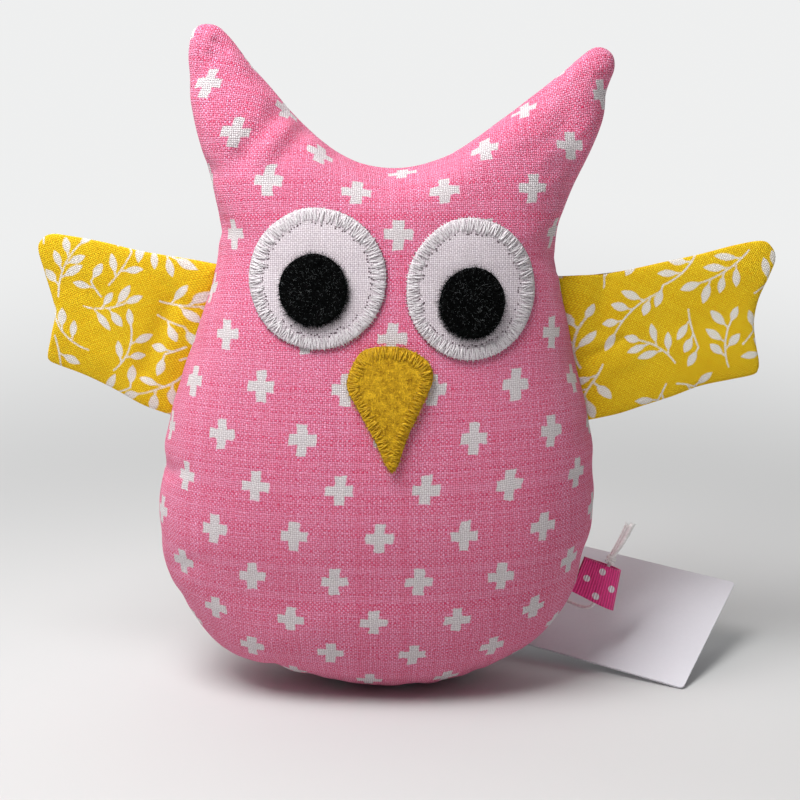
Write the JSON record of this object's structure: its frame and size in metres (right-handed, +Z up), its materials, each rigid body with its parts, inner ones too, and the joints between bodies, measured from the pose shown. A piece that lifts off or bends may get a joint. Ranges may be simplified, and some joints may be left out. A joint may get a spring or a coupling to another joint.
{
  "type": "plush owl",
  "caption": "Stuffed cloth owl with two sewn-in wings that flap, felt eyes and beak, and a blank swing card on a ribbon loop.",
  "frame": {"origin": "bottom centre of the owl: the floor under the middle of its box, measured without the string and card", "axes": "+Z up, +X to the viewer's right along the spread wings, -Y the way the owl faces; the side seam lies in Y = 0"},
  "size_m": [0.1806, 0.0847, 0.1627],
  "materials": {
    "pink_cotton": "plain-weave cotton print, matt",
    "yellow_cotton": "plain-weave cotton print, matt",
    "white_cotton": "plain-weave cotton, matt",
    "black_felt": "wool-mix felt, fuzzy",
    "mustard_felt": "wool-mix felt, fuzzy",
    "fibrefill": "loose polyester fibre, white",
    "pink_ribbon": "ribbed ribbon with a slight sheen",
    "white_string": "twisted cotton, matt",
    "white_paper": "smooth uncoated card"
  },
  "bodies": {
    "body": {"front_panel": "pink_cotton", "back_panel": "pink_cotton", "stuffing": "fibrefill", "left_eye_white": "white_cotton", "right_eye_white": "white_cotton", "left_pupil": "black_felt", "right_pupil": "black_felt", "beak": "mustard_felt", "ribbon_loop": "pink_ribbon", "tag_string": "white_string"},
    "left_wing": {"left_wing_front": "yellow_cotton", "left_wing_back": "yellow_cotton", "left_wing_wadding": "fibrefill"},
    "right_wing": {"right_wing_front": "yellow_cotton", "right_wing_back": "yellow_cotton", "right_wing_wadding": "fibrefill"},
    "card": {"swing_card": "white_paper"}
  },
  "joints": [
    {"name": "left_wing_flap", "type": "hinge", "parent": "body", "child": "left_wing", "pos_m": [-0.06015, 0, 0.06849], "axis": [0.3082, 0, 0.9513], "range_deg": [-60, 60], "stiffness_Nm_per_rad": 0.002},
    {"name": "right_wing_flap", "type": "hinge", "parent": "body", "child": "right_wing", "pos_m": [0.04636, 0, 0.06709], "axis": [0.2121, 0, -0.9772], "range_deg": [-60, 60], "stiffness_Nm_per_rad": 0.002},
    {"name": "card_swing", "type": "hinge", "parent": "body", "child": "card", "pos_m": [0.029, 0.034, 0.01405], "axis": [0, 0, 1], "range_deg": [-30, 30]}
  ]
}
